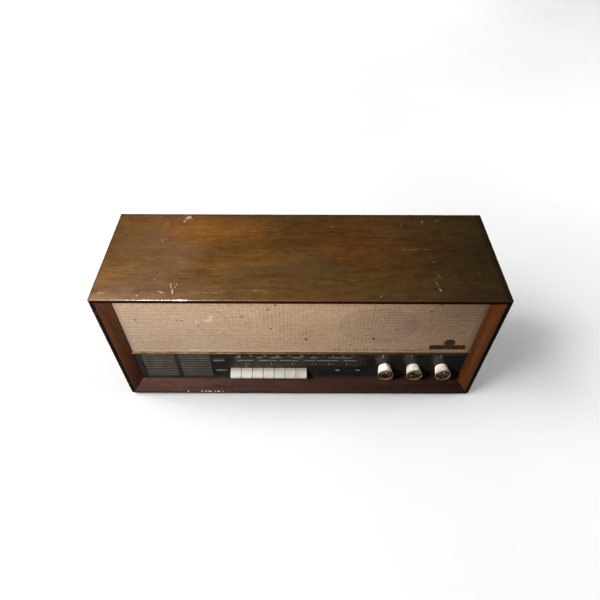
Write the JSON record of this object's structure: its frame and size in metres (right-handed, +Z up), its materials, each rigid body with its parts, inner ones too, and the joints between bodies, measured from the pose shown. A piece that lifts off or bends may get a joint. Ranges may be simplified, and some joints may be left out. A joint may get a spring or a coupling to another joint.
{
  "type": "tabletop radio",
  "caption": "Wooden-cased valve radio for a table, with a cloth-covered loudspeaker front, a tuning dial, push keys and rotary knobs.",
  "frame": {"origin": "centre of the cabinet's footprint, on the surface the feet stand on", "axes": "+Z up, -Y out of the front with the dial and knobs, +X to the listener's right"},
  "size_m": [0.5826, 0.188, 0.246],
  "materials": {
    "walnut": "dark walnut veneer under worn semi-gloss varnish",
    "plywood": "bare plywood",
    "hardboard": "brown pressed board",
    "grille_cloth": "beige woven speaker cloth with fine ribs",
    "rubber": "moulded rubber",
    "bronze_paint": "dark bronze lacquer",
    "trim_brass": "dulled brass",
    "bronze_plastic": "bronze-brown moulding",
    "dial_glass": "black-backed glass with a printed scale",
    "black_paint": "matt black paint",
    "plated_steel": "zinc-plated steel",
    "lamp_glass": "clear glass",
    "cone_paper": "dark pressed paper",
    "magnet_paint": "dark grey paint",
    "speaker_plastic": "black moulding",
    "aluminium": "plain aluminium",
    "ferrite": "grey ferrite",
    "paxolin": "brown resin-bonded board",
    "ivory": "ivory moulding, slightly aged",
    "cap_brass": "turned brass",
    "pointer_red": "red plastic"
  },
  "bodies": {
    "cabinet": {"cabinet_top": "walnut", "cabinet_bottom": "walnut", "cabinet_left_side": "walnut", "cabinet_right_side": "walnut", "foot_front_left": "rubber", "foot_front_right": "rubber", "foot_rear_left": "rubber", "foot_rear_right": "rubber", "speaker_baffle": "plywood", "grille_cloth": "grille_cloth", "nameplate": "bronze_paint", "trim_strip": "trim_brass", "louvre_grille": "bronze_plastic", "dial_glass": "dial_glass", "dial_backplate": "black_paint", "pointer_rail": "plated_steel", "dial_lamp_left": "lamp_glass", "dial_lamp_right": "lamp_glass", "main_speaker_basket": "plated_steel", "main_speaker_cone": "cone_paper", "main_speaker_magnet": "magnet_paint", "small_speaker": "speaker_plastic", "chassis": "plated_steel", "key_bank_frame": "plated_steel", "volume_potentiometer": "plated_steel", "tone_potentiometer": "plated_steel", "tuning_capacitor_frame": "aluminium", "mains_transformer": "magnet_paint", "output_transformer": "magnet_paint", "valve_1": "lamp_glass", "valve_2": "lamp_glass", "valve_3": "lamp_glass", "valve_4": "lamp_glass", "smoothing_capacitor": "aluminium", "ferrite_aerial": "ferrite", "socket_panel": "paxolin", "rear_cover": "hardboard", "mains_gland": "rubber", "rear_cover_screw_1": "plated_steel", "rear_cover_screw_2": "plated_steel", "rear_cover_screw_3": "plated_steel", "rear_cover_screw_4": "plated_steel"},
    "volume_control": {"volume_knob": "ivory", "volume_knob_cap": "cap_brass", "volume_shaft": "plated_steel"},
    "tone_control": {"tone_knob": "ivory", "tone_knob_cap": "cap_brass", "tone_shaft": "plated_steel"},
    "tuning_control": {"tuning_knob": "ivory", "tuning_knob_cap": "cap_brass", "tuning_shaft": "cap_brass"},
    "capacitor_rotor": {"tuning_capacitor_rotor": "aluminium"},
    "pointer": {"dial_pointer": "pointer_red"},
    "key_1_lever": {"key_1": "ivory"},
    "key_2_lever": {"key_2": "ivory"},
    "key_3_lever": {"key_3": "ivory"},
    "key_4_lever": {"key_4": "ivory"},
    "key_5_lever": {"key_5": "ivory"},
    "key_6_lever": {"key_6": "ivory"},
    "key_7_lever": {"key_7": "ivory"}
  },
  "joints": [
    {"name": "volume_turn", "type": "hinge", "parent": "cabinet", "child": "volume_control", "pos_m": [0.141, -0.0745, 0.0595], "axis": [0, 1, 0], "range_deg": [-150, 150]},
    {"name": "tone_turn", "type": "hinge", "parent": "cabinet", "child": "tone_control", "pos_m": [0.1885, -0.0745, 0.0595], "axis": [0, 1, 0], "range_deg": [-150, 150]},
    {"name": "tuning_turn", "type": "hinge", "parent": "cabinet", "child": "tuning_control", "pos_m": [0.236, -0.0745, 0.0595], "axis": [0, 1, 0], "range_deg": [-1440, 1440]},
    {"name": "rotor_turn", "type": "hinge", "parent": "cabinet", "child": "capacitor_rotor", "pos_m": [0.07, -0.025, 0.056], "axis": [0, 1, 0], "range_deg": [-90, 90]},
    {"name": "pointer_travel", "type": "slide", "parent": "cabinet", "child": "pointer", "axis": [1, 0, 0], "range_m": [-0.1, 0.1]},
    {"name": "key_1_press", "type": "hinge", "parent": "cabinet", "child": "key_1_lever", "pos_m": [-0.1082, -0.03, 0.044], "axis": [1, 0, 0], "range_deg": [0, 6], "stiffness_Nm_per_rad": 0.8, "springref_deg": -8.59},
    {"name": "key_2_press", "type": "hinge", "parent": "cabinet", "child": "key_2_lever", "pos_m": [-0.0898, -0.03, 0.044], "axis": [1, 0, 0], "range_deg": [0, 6], "stiffness_Nm_per_rad": 0.8, "springref_deg": -8.59},
    {"name": "key_3_press", "type": "hinge", "parent": "cabinet", "child": "key_3_lever", "pos_m": [-0.0714, -0.03, 0.044], "axis": [1, 0, 0], "range_deg": [0, 6], "stiffness_Nm_per_rad": 0.8, "springref_deg": -8.59},
    {"name": "key_4_press", "type": "hinge", "parent": "cabinet", "child": "key_4_lever", "pos_m": [-0.053, -0.03, 0.044], "axis": [1, 0, 0], "range_deg": [0, 6], "stiffness_Nm_per_rad": 0.8, "springref_deg": -8.59},
    {"name": "key_5_press", "type": "hinge", "parent": "cabinet", "child": "key_5_lever", "pos_m": [-0.0346, -0.03, 0.044], "axis": [1, 0, 0], "range_deg": [0, 6], "stiffness_Nm_per_rad": 0.8, "springref_deg": -8.59},
    {"name": "key_6_press", "type": "hinge", "parent": "cabinet", "child": "key_6_lever", "pos_m": [-0.0162, -0.03, 0.044], "axis": [1, 0, 0], "range_deg": [0, 6], "stiffness_Nm_per_rad": 0.8, "springref_deg": -8.59},
    {"name": "key_7_press", "type": "hinge", "parent": "cabinet", "child": "key_7_lever", "pos_m": [0.0022, -0.03, 0.044], "axis": [1, 0, 0], "range_deg": [0, 6], "stiffness_Nm_per_rad": 0.8, "springref_deg": -8.59}
  ],
  "couplings": [
    {"joint": "rotor_turn", "follows": "tuning_turn", "ratio": 0.0625},
    {"joint": "pointer_travel", "follows": "tuning_turn", "m_per_rad": 0.0039}
  ]
}
